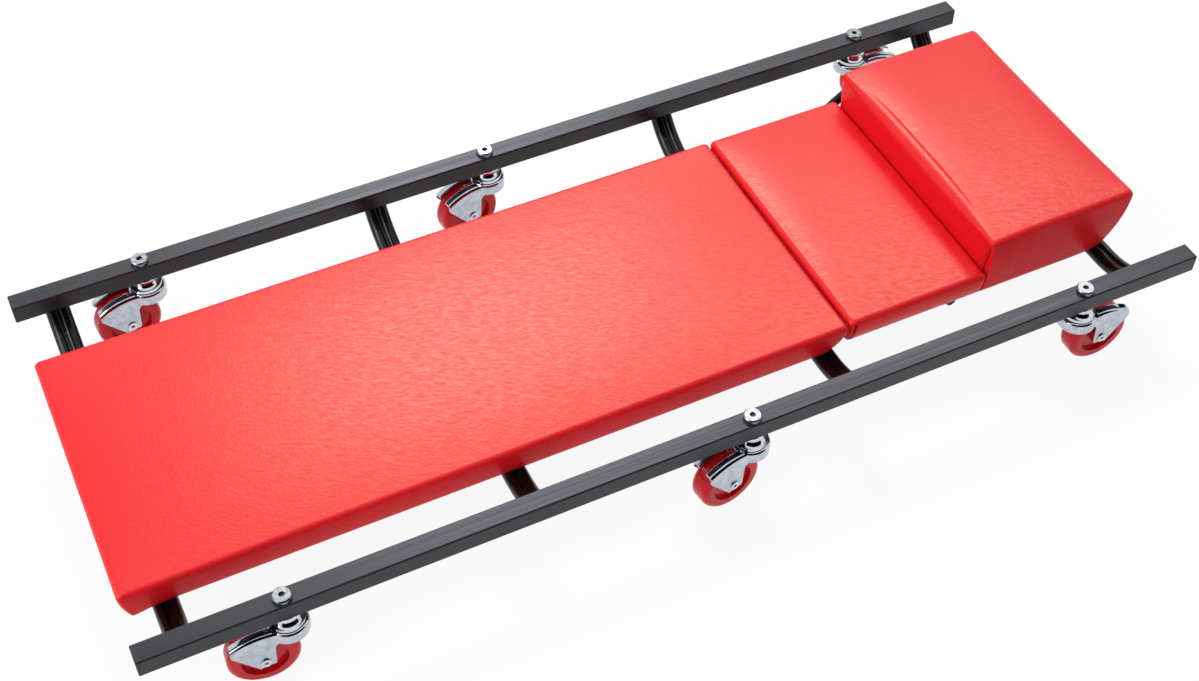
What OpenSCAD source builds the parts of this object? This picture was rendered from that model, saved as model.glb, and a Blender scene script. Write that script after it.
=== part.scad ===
// Low rolling creeper: two side rails on six swivel casters, four dropped crossbars,
// an upholstered body board and an upholstered headrest that tilts up on a prop.
// +X points to the head end, +Y to the user's right, and the floor is Z = 0.

/* [Rails] */
// Length of each side rail without its end caps
rail_len = 1016; // [900:1:1300]
// Outside width and height of the square rail tube
rail_w = 19; // [18:0.5:25]
// Wall of the rail tube
rail_wall = 1.2; // [1:0.1:2]
// Outside corner radius of the rail tube
rail_corner = 1.5; // [1:0.1:2.5]
// Distance between the centre lines of the two rails
rail_spacing = 411; // [400:1:480]
// Height of the rails' underside above the floor
rail_base = 75; // [74:0.5:82]
// Thickness of an end cap's flange
cap_flange = 3; // [2:0.5:5]
// Depth that an end cap's plug goes into the rail
cap_plug = 14; // [8:1:25]
// Bevel round an end cap's outer edge
cap_bevel = 1; // [0.5:0.1:1.5]

/* [Crossbars] */
// Distance from a rail's end to the middle of the crossbar nearest to it
bar_inset = 35.5; // [30:0.5:40]
// Width of a crossbar's two-lobed tube
bar_w = 22.5; // [20:0.5:25]
// Height of a crossbar's two-lobed tube
bar_h = 13; // [12:0.5:15]
// Radius of the groove pressed along the top and bottom of a crossbar
bar_groove = 4; // [3.5:0.1:4.5]
// Depth of that groove below the lobes
bar_valley = 2.8; // [2.2:0.1:3]
// Wall of a crossbar
bar_wall = 1.2; // [1:0.1:1.5]
// Drop from the rails' underside to the top of the crossbars
bar_drop = 27; // [24:0.5:30]
// Angle at which the curved ends of the crossbars meet the rails
bar_slope = 55; // [50:1:60]

/* [Boards and cushions] */
// Thickness of the plywood boards
board_t = 9; // [9:0.5:12]
// Corner radius of the boards, seen from above
board_corner = 20; // [16:0.5:24]
// Greatest width of the cushions
pad_w = 272.6; // [240:0.2:280]
// Distance from the rails' foot ends to the body cushion
body_pad_inset = 4; // [0:1:30]
// Distance that the body cushion reaches past the crossbar behind the back
body_pad_past = 18; // [16:0.5:20]
// Gap between the body cushion and the headrest
head_gap = 8; // [8:0.5:10]
// Length of the pillow; the thin cushion takes the rest of the headrest
pillow_len = 159; // [120:1:170]
// Distance that the pillow reaches past the crossbar at the head
pillow_past = 15.5; // [13:0.5:18]
// Height of the body cushion's edge above the crossbars
body_pad_rise = 33; // [30:0.5:38]
// Height of the thin head cushion's edge above the crossbars
head_pad_rise = 31.5; // [29:0.5:36]
// Height of the pillow's edge above the crossbars
pillow_rise = 67; // [50:1:80]
// Rise of the cushions' middle over their edges
pad_crown = 3; // [1:0.5:8]
// Radius of the cushions' top edges
pad_round = 8.5; // [8:0.5:10]
// Distance that the cushions' sides are drawn in at the bottom
pad_tuck = 4; // [4:0.2:6]
// Corner radius of the cushions, seen from above
pad_corner = 5; // [4:0.5:7]

/* [Casters] */
// Diameter of a wheel
wheel_d = 62; // [58:0.5:62]
// Width of a wheel
wheel_w = 22; // [18:0.5:22]
// Radius of a wheel's edges
wheel_edge = 6; // [3:0.5:6.5]
// Distance from the swivel axis to the wheel's axle
trail = 25.2; // [24:0.2:27]
// Distance from a rail's end to its end caster
end_inset = 119.5; // [110:0.5:130]
// Distance of each middle caster from the middle, to the head on the left and to the foot on the right
middle_stagger = 38; // [34:1:42]
// Thickness of the pressed fork
fork_t = 1.8; // [1.5:0.1:2]
// Gap inside the fork
fork_gap = 23.4; // [23.4:0.1:24.5]
// Direction in which each caster trails: foot, middle and head on the left, then on the right
trail_turns = [175.4, 189.2, -0.3, 185.5, 189.3, 0];
// Diameter of the caster stems
stem_d = 8; // [8:0.1:8.5]
// Diameter of a cap nut's head
nut_d = 16.3; // [15:0.1:17.5]
// Height of a cap nut's head
nut_h = 4.5; // [3:0.5:6]

/* [Headrest prop] */
// Diameter of the bent prop rod
rod_d = 9.5; // [8:0.1:9.5]
// Radius of the rod's bends, along its middle
rod_bend = 13; // [12:0.5:14]
// Distance from the headrest's hinge to the prop's pivot
prop_reach = 123.5; // [118:0.5:128]
// Length of the prop's legs
prop_leg = 75; // [72:0.5:78]
// Height of the hinge axis over the top of the crossbars
hinge_rise = 3; // [2.5:0.1:3.5]
// Distance from the middle to the lever's rod, sideways
lever_y = 150; // [148:0.5:152]
// Angle of the lever above the level
lever_angle = 35; // [30:1:40]
// Length of the lever from the pivot
lever_len = 75; // [60:1:78]
// Distance of each hinge bracket from the middle
bracket_y = 85; // [80:1:90]
// Thickness of the bracket plates
bracket_t = 3; // [2.5:0.1:3.5]

/* [Fasteners] */
// Diameter of the board bolts
bolt_d = 6; // [5:0.5:6]
// Diameter of the wood screws
screw_d = 4; // [3.5:0.1:4.5]
// Diameter of the hinge rivets
rivet_d = 5; // [4.5:0.1:5.5]

/* [Hidden] */
$fn = 64;
over = 1;           // overrun of cuts
fit = 0.05;         // radial clearance of pins in their bores
seat_gap = 0.05;    // gap under what lies on a round tube
soft_gap = 0.3;     // gap beside soft pieces and under the headrest
hole_gap = 0.2;     // radial clearance of bolts in plain holes

bar_count = 4;
bar_pitch = (rail_len - 2 * bar_inset) / (bar_count - 1);
bar_lobe = bar_h / 2;
seat_z = rail_base - bar_drop;
bar_z = seat_z - bar_lobe;
rail_top = rail_base + rail_w;
rail_y = rail_spacing / 2;
bore_w = rail_w - 2 * rail_wall;
bar_rise = rail_base - bar_z;
bar_bend = bar_rise / (1 - cos(bar_slope));          // bend radius along the tube's middle
bar_flat = rail_y - bar_bend * sin(bar_slope);
turn_past = 1;                            // degrees that the bend runs on before its end is cut level
bar_turn = acos((bar_bend - bar_rise) / (bar_bend + bar_lobe)) + turn_past;

board_z = seat_z + seat_gap;
pad_half = pad_w / 2;
board_inset = 4.8;                        // board edge inside the cushion's greatest width
board_half = pad_half - board_inset;
body_x0 = body_pad_inset - rail_len / 2;
body_x1 = bar_x(bar_count - 2) + body_pad_past;
head_x0 = body_x1 + head_gap;
head_x1 = bar_x(bar_count - 1) + pillow_past;
pillow_x0 = head_x1 - pillow_len;
body_board_x0 = body_x0 + board_inset;
body_board_x1 = body_x1 - board_inset;
head_board_x0 = head_x0 + board_inset;
head_board_x1 = head_x1 - 2 * board_inset;
pad_foot = seat_z + soft_gap;             // lower rim of the body cushion
head_foot_rise = 2;
head_foot = seat_z + head_foot_rise;      // lower rim of the head cushions
head_board_z = seat_z + soft_gap;

bolt_y = 60;                              // board bolts from the middle
bolt_head_d = 2 * bolt_d;
bolt_head_share = 0.6;
bolt_head_h = bolt_head_share * bolt_d;
tee_wall = 0.9;
tee_rim = 5.7;
tee_d = bolt_d + 2 * tee_wall;
tee_flange_d = tee_d + 2 * tee_rim;
tee_flange_t = 1.5;
socket_share = 0.5;

wheel_r = wheel_d / 2;
fork_half = fork_gap / 2;
fork_out = fork_half + fork_t;
ring_r = 18;                              // outside of the fork's front ring
ring_round = 3;
ring_skirt = 11.6;                        // height of the front ring
wheel_clear = 0.8;
plate_z = wheel_d + wheel_clear;          // underside of the fork's top plate
plate_top = plate_z + fork_t;
ring_foot = plate_top - ring_skirt;
ball_d = 4;
ball_count = 10;
ball_ring = 11.2;
cup_under = plate_top + ball_d + 2 * fit;
cup_gap = 0.9;                            // gap between the cup's lip and the fork
cup_r = 15.5;
cup_lip = 1.6;
cup_hub = 8.5;
flank_r = 7;                              // radius of the cup's hollow flank
flank_out = 1;
flank_up = 0.5;
king_d = 13;
king_h = 3.3;
axle_d = 6;
sleeve_d = 8;
rivet_head = 4.6;
rivet_dome = 1.2;
rivet_hole = 3.6;
rivet_head_share = 0.8;
hub_r = 9;                                // wheel hub outside
recess_r = 20;                            // wheel recess outside
recess_depth = 4;
hub_gap = 0.4;

leg_tip = 9;                              // radius of the leg's end round the axle
tip_sink = 0.1;                           // the leg's edges end this far inside its round end
leg_before = 9.9;
leg_front = trail - leg_before;
leg_shoulder = 46;                        // height where the leg's front edge bends to the ring
leg_fillet = 7;
leg_behind = 26.3;
leg_rear = trail + leg_behind;
leg_rear_z = 50;
hood_r = 55.5;                            // radius of the hood's crest, seen from the side
hood_before = 3.7;
hood_rise = 1.5;
hood_x = trail - hood_before;
hood_z = plate_top + hood_rise - hood_r;
hood_round = 4;
hood_slot = 4.5;                          // half width of the slot between the shoulders
hood_lip = 1.2;

nut_bevel = 1;
nut_wall = 1.25;
nut_barrel = stem_d + 2 * nut_wall;
nut_reach = 13;                           // length of the nut's barrel
socket_d = 6;
socket_depth = 3.2;
stem_low = 2;                             // stem's end under the rail's top
stem_top = rail_top - stem_low;
washer_t = 0.6;

hinge_x = body_x1 + head_gap / 2;
hinge_z = seat_z + hinge_rise;
ear_r = rivet_d;                          // round ends of the hinge plates
prop_x = hinge_x + prop_reach;
rod_r = rod_d / 2;
prop_drop = 1.75;                         // gap between the rod and the headrest's board
prop_z = head_board_z - prop_drop - rod_r;
foot_gap = 1.2;                           // clearance of the prop's foot over its seat
foot_x = prop_x - prop_leg;
leg_beside = 12;
foot_half = bracket_y + leg_beside;       // legs of the prop from the middle
foot_top = prop_z - rod_r - foot_gap;
bracket_depth = 10;
bracket_past = 17;
bracket_end = foot_x + bracket_past;
notch_depth = 1.5;
raised_tilt = 20;                         // headrest's angle when the prop's foot is in its seat
raised_out = prop_reach * cos(raised_tilt) - (prop_z - hinge_z) * sin(raised_tilt);
raised_up = prop_reach * sin(raised_tilt) + (prop_z - hinge_z) * cos(raised_tilt);
leg_turn = asin((hinge_z + raised_up - prop_z) / prop_leg);
notch_x = hinge_x + raised_out - prop_leg * cos(leg_turn);
plate_gap = 0.2;
strap_t = bracket_t;
strap_y = bracket_y + bracket_t / 2 + plate_gap;
strap_arm = 7.5;                          // height of the strap's arm
strap_inset = 5;
strap_x0 = head_x0 + pad_tuck + strap_inset;
strap_len = 30;
strap_w = 24;
strap_flange = 2.5;
screw_len = 9;
screw_head_d = 2 * screw_d;
screw_head_h = screw_d / 2;
clip_t = 1.5;
clip_w = 12;
clip_ear = 11;
clip_beside = 8;
clip_y = foot_half + rod_bend + clip_beside;
pivot_past = 3;
pivot_end = clip_y + clip_w / 2 + pivot_past;        // left end of the rod's pivot
collar_y = clip_y + clip_w / 2 + hole_gap;           // the rod's stop collar beside its right clip
collar_t = 2;
collar_rim = 1.2;

least_corner = 0.3;
corner_steps = 5;                         // outline points in a cushion's corner
edge_steps = 5;                           // levels over a cushion's top edge
tuck_shares = [1, 0.72, 0.42, 0.2, 0.06, 0];        // draw-in at each level of a cushion's side
tuck_height_shares = [0, 0.16, 0.34, 0.52, 0.75, 1]; // height of each of those levels
crown_inset_shares = [0.12, 0.28, 0.48, 0.7, 0.9, 0.98];

sides = [-1, 1];
caster_x = [
    end_inset - rail_len / 2, middle_stagger, rail_len / 2 - end_inset,
    end_inset - rail_len / 2, -middle_stagger, rail_len / 2 - end_inset
];
caster_names = ["foot_left", "middle_left", "head_left", "foot_right", "middle_right", "head_right"];
bar_names = ["crossbar_foot", "crossbar_waist", "crossbar_back", "crossbar_head"];
cap_names = ["end_cap_foot_left", "end_cap_head_left", "end_cap_foot_right", "end_cap_head_right"];

function bar_x(i) = (i - (bar_count - 1) / 2) * bar_pitch;
function caster_y(i) = i < 3 ? -rail_y : rail_y;

// Square with round corners, centred
module round_square(w, r) {
    square([w, w - 2 * r], center = true);
    square([w - 2 * r, w], center = true);
    for (sx = sides, sy = sides) translate([sx, sy] * (w / 2 - r)) circle(r);
}

// What a round leaves of the corner that it is cut from; the corner is at the origin, the cut towards -X -Y
module corner_waste(r) {
    difference() {
        translate([-r, -r]) square(r + over);
        translate([-r, -r]) circle(r);
    }
}

// Lays an outline drawn in X and Z into the upright plane, t thick and centred on Y
module upright(t) {
    rotate([90, 0, 0]) linear_extrude(t, center = true) children();
}

module caster_place(i) {
    translate([caster_x[i], caster_y(i), 0]) rotate(trail_turns[i]) children();
}

// Side rails

module rail(side) {
    color("#37383b")
    difference() {
        translate([0, side * rail_y, rail_base + rail_w / 2]) rotate([0, 90, 0])
            linear_extrude(rail_len, center = true) difference() {
                round_square(rail_w, rail_corner);
                square(bore_w, center = true);
            }
        for (i = [0:5]) if (caster_y(i) * side > 0) translate([caster_x[i], caster_y(i), 0]) {
            translate([0, 0, rail_base - over]) cylinder(d = stem_d + 2 * hole_gap, h = rail_w);
            translate([0, 0, rail_top - rail_wall - over])
                cylinder(d = nut_barrel + 2 * hole_gap, h = rail_wall + 2 * over);
        }
    }
}

// Edge of an end cap's flange, seen from one side
module cap_outline() {
    half = rail_w / 2;
    polygon([
        [0, -half], [cap_flange - cap_bevel, -half], [cap_flange, cap_bevel - half],
        [cap_flange, half - cap_bevel], [cap_flange - cap_bevel, half], [0, half]
    ]);
}

module end_cap(end, side) {
    color("#17181a")
    translate([end * rail_len / 2, side * rail_y, rail_base + rail_w / 2])
        mirror([end < 0 ? 1 : 0, 0, 0]) {
            intersection() {
                rotate([90, 0, 0]) linear_extrude(rail_w, center = true) cap_outline();
                linear_extrude(rail_w, center = true) cap_outline();
                translate([-over, 0, 0]) rotate([0, 90, 0])
                    linear_extrude(cap_flange + 2 * over) round_square(rail_w, rail_corner);
            }
            translate([-cap_plug / 2, 0, 0]) difference() {
                cube([cap_plug, bore_w - 2 * hole_gap, bore_w - 2 * hole_gap], center = true);
                translate([-cap_flange, 0, 0])
                    cube([cap_plug, bore_w - 2 * cap_flange, bore_w - 2 * cap_flange], center = true);
            }
        }
}

// Crossbars: one two-lobed tube, level in the middle, its ends bent up and cut level under the rails

module bar_outline(grow) {
    half = bar_w / 2 - bar_lobe;
    difference() {
        union() {
            for (s = sides) translate([s * half, 0]) circle(bar_lobe + grow);
            square([2 * half, bar_h + 2 * grow], center = true);
        }
        for (s = sides) translate([0, s * (bar_lobe - bar_valley + bar_groove)])
            circle(bar_groove - grow);
    }
}

module bar_section() {
    difference() {
        bar_outline(0);
        bar_outline(-bar_wall);
    }
}

module crossbar(i) {
    color("#141416")
    difference() {
        translate([bar_x(i), 0, bar_z]) {
            rotate([90, 0, 0]) linear_extrude(2 * bar_flat, center = true) bar_section();
            for (s = sides) mirror([0, s > 0 ? 0 : 1, 0])
                translate([0, bar_flat, bar_bend]) rotate([0, 90, 0])
                    rotate_extrude(angle = bar_turn) translate([bar_bend, 0]) rotate(90) bar_section();
        }
        for (s = sides) translate([bar_x(i), s * rail_y, rail_base + bar_h])
            cube([2 * bar_w, 2 * bar_w, 2 * bar_h], center = true);
        if (i < bar_count - 1) for (s = sides) translate([bar_x(i), s * bolt_y, bar_z - bar_h])
            cylinder(d = bolt_d + 2 * hole_gap, h = 2 * bar_h);
    }
}

// Boards

// A board from above, grown all round by grow
module board_outline(x0, x1, grow) {
    r = board_corner + grow;
    far = board_half + grow;
    translate([x0 - grow + r, -far]) square([x1 - x0 - 2 * board_corner, 2 * far]);
    translate([x0 - grow, r - far]) square([x1 - x0 + 2 * grow, 2 * (far - r)]);
    for (x = [x0 - grow + r, x1 + grow - r], s = sides) translate([x, s * (far - r)]) circle(r);
}

module body_board() {
    color("#b98a55")
    difference() {
        translate([0, 0, board_z]) linear_extrude(board_t) board_outline(body_board_x0, body_board_x1, 0);
        for (i = [0:bar_count - 2], s = sides) translate([bar_x(i), s * bolt_y, board_z]) {
            translate([0, 0, -over]) cylinder(d = tee_d + 2 * fit, h = board_t + 2 * over);
            translate([0, 0, board_t - tee_flange_t])
                cylinder(d = tee_flange_d + 2 * fit, h = tee_flange_t + over);
        }
    }
}

module head_board() {
    color("#1b1b1d")
    difference() {
        translate([0, 0, head_board_z])
            linear_extrude(board_t) board_outline(head_board_x0, head_board_x1, 0);
        for (spot = concat(strap_screw_spots(), clip_screw_spots()))
            translate([spot.x, spot.y, head_board_z - over])
                cylinder(d = screw_d + 2 * fit, h = screw_len - strap_flange + 2 * over);
    }
}

// Cushions: level outlines stacked from the rim over the round top edge to the crown

function level_points(x0, x1, half, r, z) = [
    for (q = [0:3], i = [0:corner_steps])
        let (
            a = 90 * (q + i / corner_steps),
            cx = q == 0 || q == 3 ? x1 - r : x0 + r,
            cy = q < 2 ? half - r : r - half
        )
        [cx + r * cos(a), cy + r * sin(a), z]
];

// Inset and height of each level, with the share of the draw-in that it takes
function cushion_levels(foot, top, half) =
    let (brow = top - pad_round)
    concat(
        [for (i = [0:len(tuck_shares) - 1])
            [0, foot + tuck_height_shares[i] * (brow - foot), tuck_shares[i]]],
        [for (i = [1:edge_steps])
            let (a = 90 * i / edge_steps)
            [pad_round * (1 - cos(a)), brow + pad_round * sin(a), 0]],
        [for (s = crown_inset_shares)
            [pad_round + s * (half - pad_round), top + pad_crown * (1 - (1 - s) * (1 - s)), 0]]
    );

module cushion_form(x0, x1, foot, top, tuck0, tuck1) {
    levels = cushion_levels(foot, top, min(pad_half, (x1 - x0) / 2));
    n = 4 * (corner_steps + 1);
    points = [
        for (v = levels)
            each level_points(
                x0 + v[0] + tuck0 * v[2], x1 - v[0] - tuck1 * v[2],
                pad_half - v[0] - pad_tuck * v[2],
                max(pad_corner - v[0], least_corner), v[1])
    ];
    last = (len(levels) - 1) * n;
    faces = concat(
        [for (i = [1:n - 2]) [0, i, i + 1]],
        [for (k = [0:len(levels) - 2], i = [0:n - 1], half_face = [0, 1])
            let (a = k * n + i, b = k * n + (i + 1) % n)
            half_face == 0 ? [a, a + n, b + n] : [a, b + n, b]],
        [for (i = [1:n - 2]) [last, last + i + 1, last + i]]
    );
    polyhedron(points, faces, convexity = 4);
}

module body_cushion() {
    color("#d8232f")
    difference() {
        cushion_form(body_x0, body_x1, pad_foot, seat_z + body_pad_rise, pad_tuck, pad_tuck);
        translate([0, 0, board_z])
            linear_extrude(board_t) board_outline(body_board_x0, body_board_x1, hole_gap);
    }
}

// Room that the head cushions leave for their board
module head_recess() {
    translate([0, 0, head_foot - over]) linear_extrude(head_board_z + board_t - head_foot + over)
        board_outline(head_board_x0, head_board_x1, hole_gap);
}

module head_cushion() {
    color("#d8232f")
    difference() {
        cushion_form(head_x0, pillow_x0 - soft_gap / 2, head_foot, seat_z + head_pad_rise, pad_tuck, 0);
        head_recess();
    }
}

module pillow() {
    color("#e0202e")
    difference() {
        cushion_form(pillow_x0 + soft_gap / 2, head_x1, head_foot, seat_z + pillow_rise, 0, 2 * pad_tuck);
        head_recess();
    }
}

// Board bolts from below and their tee nuts in the board

module board_bolts() {
    color("#c9ccd0")
    for (i = [0:bar_count - 2], s = sides) translate([bar_x(i), s * bolt_y, 0]) {
        translate([0, 0, bar_z - bar_lobe - bolt_head_h - seat_gap]) difference() {
            cylinder(d = bolt_head_d, h = bolt_head_h);
            translate([0, 0, -over])
                cylinder(d = socket_share * bolt_d, h = bolt_head_h * socket_share + over, $fn = 6);
        }
        translate([0, 0, bar_z - bar_lobe - seat_gap - fit])
            cylinder(d = bolt_d, h = bar_h + board_t - tee_flange_t);
    }
}

module tee_nuts() {
    color("#c9ccd0")
    for (i = [0:bar_count - 2], s = sides) translate([bar_x(i), s * bolt_y, board_z]) difference() {
        union() {
            translate([0, 0, tee_flange_t]) cylinder(d = tee_d, h = board_t - tee_flange_t);
            translate([0, 0, board_t - tee_flange_t]) cylinder(d = tee_flange_d, h = tee_flange_t);
        }
        translate([0, 0, -over]) cylinder(d = bolt_d + 2 * fit, h = board_t + 2 * over);
    }
}

// Cap nuts on the rails, each over a caster's stem

module cap_nuts() {
    color("#d5d7da")
    for (i = [0:5]) translate([caster_x[i], caster_y(i), rail_top]) difference() {
        rotate_extrude() difference() {
            union() {
                square([nut_d / 2, nut_h]);
                translate([0, -nut_reach]) square([nut_barrel / 2, nut_reach]);
            }
            polygon([
                [nut_d / 2 - nut_bevel, nut_h], [nut_d / 2 + over, nut_h - nut_bevel - over],
                [nut_d / 2 + over, nut_h + over], [nut_d / 2 - nut_bevel, nut_h + over]
            ]);
        }
        translate([0, 0, nut_h - socket_depth]) cylinder(d = socket_d, h = socket_depth + over, $fn = 6);
        translate([0, 0, -nut_reach - over])
            cylinder(d = stem_d + 2 * fit, h = nut_reach + over + nut_h - socket_depth - washer_t);
    }
}

// Hinge between the crossbar behind the back and the headrest's board

module bracket_outline() {
    back = bar_x(bar_count - 2);
    difference() {
        union() {
            translate([back, foot_top - bracket_depth]) square([bracket_end - back, bracket_depth]);
            translate([hinge_x - ear_r, foot_top - bracket_depth])
                square([2 * ear_r, hinge_z - foot_top + bracket_depth]);
            translate([hinge_x, hinge_z]) circle(ear_r);
        }
        translate([back, bar_z]) bar_outline(seat_gap);
        translate([hinge_x, hinge_z]) circle(rivet_d / 2 + fit);
        translate([notch_x, foot_top - notch_depth + rod_r]) circle(rod_r);
    }
}

module hinge_brackets() {
    color("#1c1c1e")
    for (s = sides) translate([0, s * bracket_y, 0]) upright(bracket_t) bracket_outline();
}

module strap_outline() {
    difference() {
        union() {
            translate([hinge_x, hinge_z]) circle(ear_r);
            polygon([
                [hinge_x - ear_r, hinge_z], [hinge_x - ear_r / 2, head_board_z - strap_arm],
                [strap_x0 + strap_len, head_board_z - strap_arm], [strap_x0 + strap_len, head_board_z],
                [head_x0 + pad_tuck - ear_r / 4, head_board_z], [hinge_x + ear_r, hinge_z]
            ]);
        }
        translate([hinge_x, hinge_z]) circle(rivet_d / 2 + fit);
    }
}

function strap_screw_spots() = [
    for (s = sides, k = [1, 3])
        [strap_x0 + k * strap_len / 4, s * (strap_y + strap_t + strap_w / 2)]
];

module hinge_straps() {
    color("#1c1c1e")
    difference() {
        for (s = sides) mirror([0, s > 0 ? 0 : 1, 0]) {
            translate([0, strap_y + strap_t / 2, 0]) upright(strap_t) strap_outline();
            translate([strap_x0, strap_y, head_board_z - strap_flange])
                cube([strap_len, strap_t + strap_w, strap_flange]);
        }
        for (spot = strap_screw_spots()) translate([spot.x, spot.y, head_board_z - strap_flange - over])
            cylinder(d = screw_d + 2 * hole_gap, h = strap_flange + 2 * over);
    }
}

module wood_screws(spots, seat) {
    color("#c9ccd0")
    for (spot = spots) translate([spot.x, spot.y, seat]) {
        translate([0, 0, -screw_head_h]) cylinder(d = screw_head_d, h = screw_head_h);
        cylinder(d = screw_d, h = screw_len - strap_flange);
    }
}

module hinge_screws() {
    wood_screws(strap_screw_spots(), head_board_z - strap_flange);
}

module hinge_rivets() {
    color("#c9ccd0")
    for (s = sides) mirror([0, s > 0 ? 0 : 1, 0])
        translate([hinge_x, bracket_y - bracket_t / 2 - plate_gap, hinge_z]) rotate([-90, 0, 0]) {
            cylinder(d = rivet_d, h = bracket_t + strap_t + 3 * plate_gap);
            translate([0, 0, -rivet_dome]) cylinder(r = ear_r * rivet_head_share, h = rivet_dome);
            translate([0, 0, bracket_t + strap_t + 3 * plate_gap])
                cylinder(r = ear_r * rivet_head_share, h = rivet_dome);
        }
}

// Prop: one bent rod with a pivot, two legs, a foot, and a stop collar and lever on the right

// Quarter bend of the rod in the XY plane, from +X travel to +Y travel, starting at the origin
module rod_corner() {
    translate([0, rod_bend, 0]) rotate(-90)
        rotate_extrude(angle = 90) translate([rod_bend, 0]) circle(rod_r);
}

module rod_run(from, to) {
    d = to - from;
    translate(from) rotate([0, acos(d.z / norm(d)), atan2(d.y, d.x)]) cylinder(r = rod_r, h = norm(d));
}

module prop_leg_bends(side) {
    mirror([0, side > 0 ? 0 : 1, 0]) {
        translate([foot_x + rod_bend, foot_half, 0]) rotate(180) rod_corner();
        rod_run([foot_x + rod_bend, foot_half, 0], [prop_x - rod_bend, foot_half, 0]);
        translate([prop_x - rod_bend, foot_half, 0]) rod_corner();
    }
}

module prop_rod() {
    color("#141416")
    translate([0, 0, prop_z]) {
        rod_run([foot_x, rod_bend - foot_half, 0], [foot_x, foot_half - rod_bend, 0]);
        for (s = sides) prop_leg_bends(s);
        rod_run([prop_x, -foot_half - rod_bend, 0], [prop_x, -pivot_end, 0]);
        rod_run([prop_x, foot_half + rod_bend, 0], [prop_x, collar_y, 0]);
        translate([prop_x, collar_y, 0]) rotate([-90, 0, 0]) cylinder(r = rod_r + collar_rim, h = collar_t);
        translate([prop_x, 0, 0]) rotate([0, -lever_angle, 0]) {
            rod_run([0, collar_y + collar_t, 0], [0, lever_y - rod_bend, 0]);
            translate([0, lever_y - rod_bend, 0]) rotate(90) mirror([0, 1, 0]) rod_corner();
            rod_run([rod_bend, lever_y, 0], [lever_len, lever_y, 0]);
            translate([lever_len, lever_y, 0]) sphere(rod_r);
        }
    }
}

// Clips that carry the prop's pivot under the head board

function clip_screw_spots() = [
    for (s = sides, e = sides) [prop_x + e * (rod_r + clip_t + clip_ear / 2), s * clip_y]
];

module clip_outline() {
    out = rod_r + fit + clip_t;
    rise = head_board_z - prop_z;
    translate([prop_x, prop_z]) difference() {
        union() {
            circle(out);
            translate([-out, 0]) square([2 * out, rise]);
            translate([-out - clip_ear, rise - clip_t]) square([2 * (out + clip_ear), clip_t]);
        }
        circle(rod_r + fit);
        translate([-rod_r - fit, 0]) square([rod_d + 2 * fit, rise + over]);
    }
}

module prop_clips() {
    color("#c9ccd0")
    difference() {
        for (s = sides) translate([0, s * clip_y, 0]) upright(clip_w) clip_outline();
        for (spot = clip_screw_spots()) translate([spot.x, spot.y, head_board_z - clip_t - over])
            cylinder(d = screw_d + 2 * hole_gap, h = clip_t + 2 * over);
    }
}

module clip_screws() {
    wood_screws(clip_screw_spots(), head_board_z - clip_t);
}

// Casters, each drawn at the origin with its wheel trailing to +X

module stem() {
    color("#c4c8cc")
    rotate_extrude() difference() {
        union() {
            translate([0, plate_z - king_h - fit]) square([king_d / 2, king_h]);
            translate([0, plate_z - king_h]) square([stem_d / 2, stem_top - plate_z + king_h]);
            translate([0, plate_top + cup_gap]) square([cup_r, rail_base - plate_top - cup_gap]);
        }
        translate([cup_hub, plate_top]) square([cup_r - cup_lip - cup_hub, cup_under - plate_top]);
        translate([cup_r + flank_out, rail_base + flank_up]) circle(flank_r);
    }
}

module balls() {
    color("#e4e6e8")
    for (k = [0:ball_count - 1]) rotate(k * 360 / ball_count)
        translate([ball_ring, 0, plate_top + fit + ball_d / 2]) sphere(d = ball_d);
}

// Point just inside the leg's round end where a line from p touches it, on the side given by turn
function tip_touch(p, turn) =
    let (c = [trail, wheel_r], v = p - c, a = atan2(v.y, v.x) + turn * acos(leg_tip / norm(v)))
    c + (leg_tip - tip_sink) * [cos(a), sin(a)];

module leg_outline() {
    rear = [leg_rear, leg_rear_z];
    front = [leg_front, leg_shoulder];
    translate([trail, wheel_r]) circle(leg_tip);
    polygon([
        rear, tip_touch(rear, -1), tip_touch(front, 1), front,
        [leg_front, plate_top + hood_round], [leg_rear, plate_top + hood_round]
    ]);
    translate([leg_front - leg_fillet, ring_foot]) square([leg_fillet + over, ring_skirt]);
    translate([leg_front, ring_foot]) mirror([0, 1]) difference() {
        translate([-leg_fillet, -over]) square([leg_fillet + over, leg_fillet + over]);
        translate([-leg_fillet, leg_fillet]) circle(leg_fillet);
    }
}

// Section of the hood in radius and sideways, for one side
module hood_section() {
    top = hood_r;
    reach = hood_r - wheel_r / 2;
    difference() {
        translate([top - reach, hood_slot]) square([reach, fork_out - hood_slot]);
        translate([top, fork_out]) corner_waste(hood_round);
        translate([top, hood_slot]) mirror([0, 1]) corner_waste(hood_lip);
        difference() {
            translate([top - reach - over, 0]) square([reach + over - fork_t, fork_half]);
            translate([top - fork_t, fork_half]) corner_waste(hood_round - fork_t);
        }
    }
}

module hood() {
    for (s = sides) mirror([0, s > 0 ? 0 : 1, 0])
        translate([hood_x, 0, hood_z]) rotate([90, 0, 0]) mirror([0, 0, 1]) rotate(-45)
            rotate_extrude(angle = 180) hood_section();
}

module front_ring() {
    rotate_extrude() difference() {
        translate([0, ring_foot]) square([ring_r, ring_skirt]);
        translate([ring_r, plate_top]) corner_waste(ring_round);
        difference() {
            translate([0, ring_foot - over]) square([ring_r - fork_t, ring_skirt - fork_t + over]);
            translate([ring_r - fork_t, plate_z]) corner_waste(ring_round - fork_t);
        }
    }
}

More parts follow.
